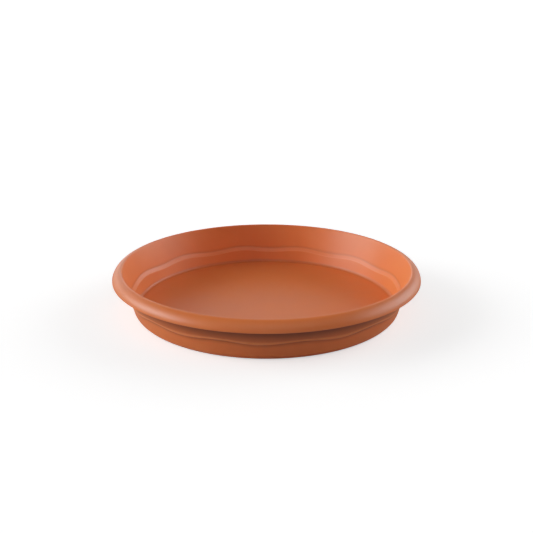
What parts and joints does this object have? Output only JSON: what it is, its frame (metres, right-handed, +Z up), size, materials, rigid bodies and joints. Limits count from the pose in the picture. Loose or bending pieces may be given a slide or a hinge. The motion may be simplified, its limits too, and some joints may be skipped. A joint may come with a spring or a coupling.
{
  "type": "plant pot saucer",
  "caption": "Round plastic plant-pot saucer in terracotta colour: flat floor, flaring wall with a wavy ledge, and a turned-over hollow rim.",
  "frame": {"origin": "centre of the foot, on the surface that the saucer stands on", "axes": "+Z up along the saucer's axis of turning; X and Y are alike, and the first crest of the ledge's 12 waves is 13 degrees from +X towards +Y"},
  "size_m": [0.3, 0.3, 0.0432],
  "materials": {
    "terracotta_plastic": "smooth satin, slightly translucent polypropylene"
  },
  "bodies": {
    "root": {"saucer": "terracotta_plastic"}
  },
  "joints": []
}
